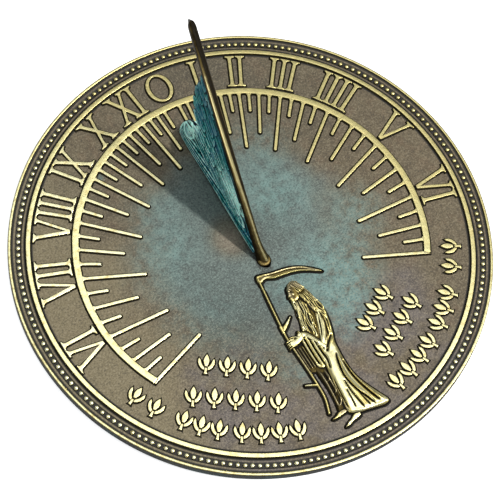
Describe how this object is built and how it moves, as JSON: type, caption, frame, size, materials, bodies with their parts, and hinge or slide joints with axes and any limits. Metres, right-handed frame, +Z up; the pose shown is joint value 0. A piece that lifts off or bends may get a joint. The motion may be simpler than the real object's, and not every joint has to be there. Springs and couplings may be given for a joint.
{
  "type": "garden sundial",
  "caption": "Round cast brass garden sundial with raised numerals, hour lines and a robed figure in low relief, and a wing-shaped gnomon screwed on from below.",
  "frame": {"origin": "centre of the circular underside, on the surface the dial rests on", "axes": "+Z up, square to the dial plate; +Y from the style's foot towards the noon mark; +X towards the afternoon hours"},
  "size_m": [0.254, 0.254, 0.112],
  "materials": {
    "aged_brass": "cast brass with a grey-brown patina and relieved, polished high spots",
    "verdigris_brass": "cast brass with a blue-green verdigris patina, polished on the style",
    "screw_brass": "plain turned brass",
    "spring_steel": "plated spring steel"
  },
  "bodies": {
    "root": {"dial_plate": "aged_brass", "gnomon": "verdigris_brass", "front_screw": "screw_brass", "front_lock_washer": "spring_steel", "rear_screw": "screw_brass", "rear_lock_washer": "spring_steel"}
  },
  "joints": []
}
